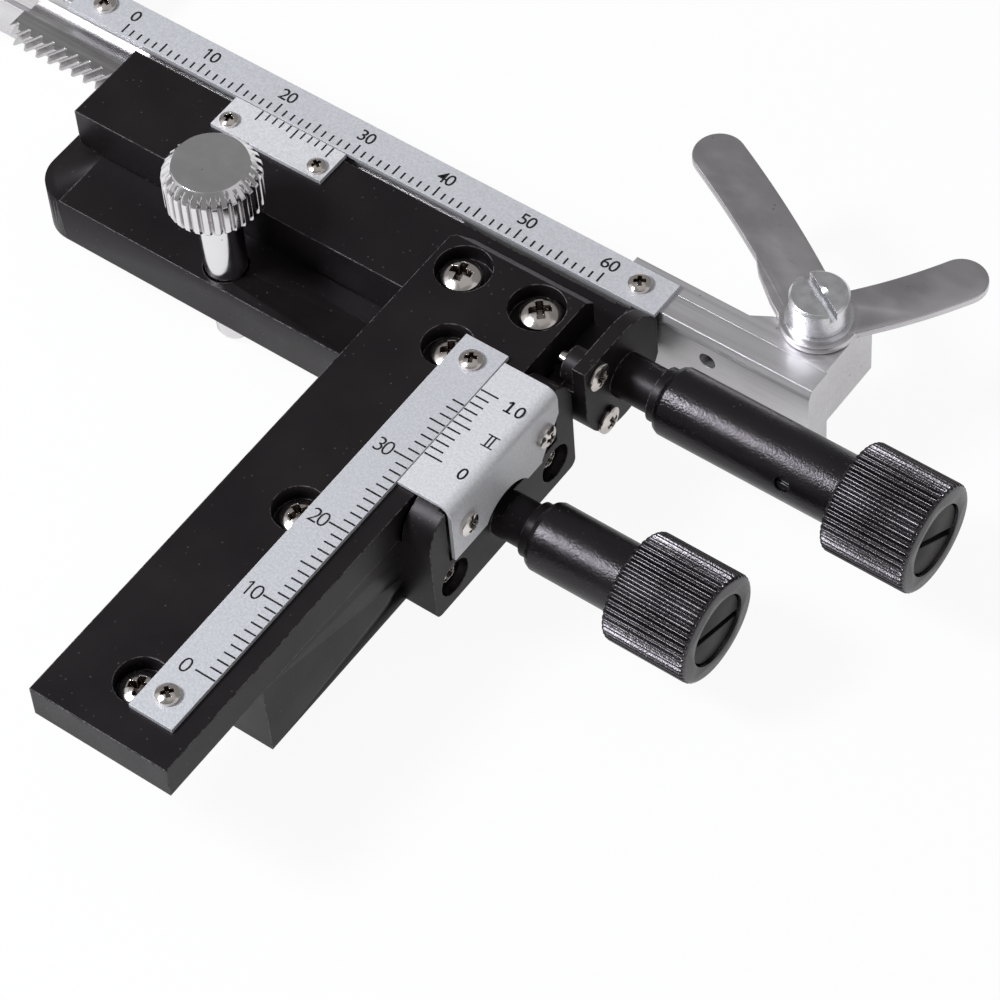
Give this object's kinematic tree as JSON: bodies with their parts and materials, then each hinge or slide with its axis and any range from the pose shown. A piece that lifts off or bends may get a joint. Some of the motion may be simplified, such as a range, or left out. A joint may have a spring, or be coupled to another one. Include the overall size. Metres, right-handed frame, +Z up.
{
  "type": "mechanical microscope stage",
  "caption": "Attachable mechanical stage: L-shaped black base with clamp screw, geared Y and X slides with scales and verniers, knurled knobs and a sprung slide clip.",
  "frame": {"origin": "clamp screw axis where it meets the flat underside of the base", "axes": "+X right along both knob shafts, +Y away from the user along the Y slide, +Z up"},
  "size_m": [0.1291, 0.0951, 0.0259],
  "materials": {
    "black_paint": "satin black enamel over castings, fine specks",
    "black_knob": "satin black turned metal",
    "bar_metal": "satin milled, fine scratches",
    "ruler_metal": "matt etched scale plate",
    "screw_nickel": "nickel plated",
    "dark_screw": "blackened",
    "turned_steel": "turned and hobbed",
    "bearing_brass": "machined",
    "clip_steel": "satin rolled sheet",
    "chrome_screw": "bright nickel plate",
    "spring_steel": "spring wire"
  },
  "bodies": {
    "base": {"base_frame": "black_paint", "y_gib": "bearing_brass", "y_gib_screws": "dark_screw", "y_bearing_bracket": "black_paint", "y_bracket_screws": "screw_nickel", "y_vernier_plate": "ruler_metal", "y_vernier_screws": "screw_nickel", "y_sleeve": "black_paint"},
    "clamp_screw": {"thumbscrew": "chrome_screw", "retaining_ring": "spring_steel"},
    "y_stage": {"y_plate": "black_paint", "y_rail": "black_paint", "y_rack": "turned_steel", "rail_screws": "screw_nickel", "beam_screws": "screw_nickel", "y_ruler": "ruler_metal", "y_ruler_screws": "screw_nickel", "x_beam": "black_paint", "x_bearing_flange": "black_paint", "x_flange_screws": "screw_nickel", "x_sleeve": "black_paint", "x_end_bush": "bearing_brass", "x_set_screw": "dark_screw", "x_vernier_plate": "ruler_metal", "x_vernier_screws": "screw_nickel"},
    "y_drive": {"y_pinion_shaft": "turned_steel", "y_knob": "black_knob", "y_knob_screw": "black_knob", "y_friction_washer": "bearing_brass"},
    "x_drive": {"x_worm_shaft": "turned_steel", "x_knob": "black_knob", "x_knob_screw": "black_knob", "x_friction_washer": "bearing_brass"},
    "x_slide": {"slide_bar": "bar_metal", "x_rack_rail": "turned_steel", "rack_screws": "screw_nickel", "x_ruler": "ruler_metal", "x_ruler_screws": "screw_nickel", "end_block": "bar_metal", "end_block_screws": "dark_screw", "fixed_finger": "clip_steel", "finger_screws": "screw_nickel", "pivot_screw": "chrome_screw", "torsion_spring": "spring_steel", "clip_washer": "clip_steel"},
    "clip": {"clip_lever": "clip_steel"}
  },
  "joints": [
    {"name": "clamp_turn", "type": "hinge", "parent": "base", "child": "clamp_screw", "pos_m": [0, 0, 0], "axis": [0, 0, 1], "continuous": true},
    {"name": "y_travel", "type": "slide", "parent": "base", "child": "y_stage", "axis": [0, 1, 0], "range_m": [0, 0.031]},
    {"name": "y_knob_turn", "type": "hinge", "parent": "base", "child": "y_drive", "pos_m": [0.0564, -0.0091, 0.0055], "axis": [1, 0, 0], "range_deg": [-713, 3]},
    {"name": "x_travel", "type": "slide", "parent": "y_stage", "child": "x_slide", "axis": [1, 0, 0], "range_m": [-0.03, 0.018]},
    {"name": "x_knob_turn", "type": "hinge", "parent": "y_stage", "child": "x_drive", "pos_m": [0.0687, 0.00915, 0.00845], "axis": [1, 0, 0], "range_deg": [-678, 1128]},
    {"name": "clip_swing", "type": "hinge", "parent": "x_slide", "child": "clip", "pos_m": [0.0558, 0.02305, 0.01105], "axis": [0, 0, 1], "range_deg": [-40, 0], "stiffness_Nm_per_rad": 0.02, "springref_deg": 20.05}
  ],
  "couplings": [
    {"joint": "y_knob_turn", "follows": "y_travel", "rad_per_m": -400},
    {"joint": "x_knob_turn", "follows": "x_travel", "rad_per_m": -654.5}
  ]
}
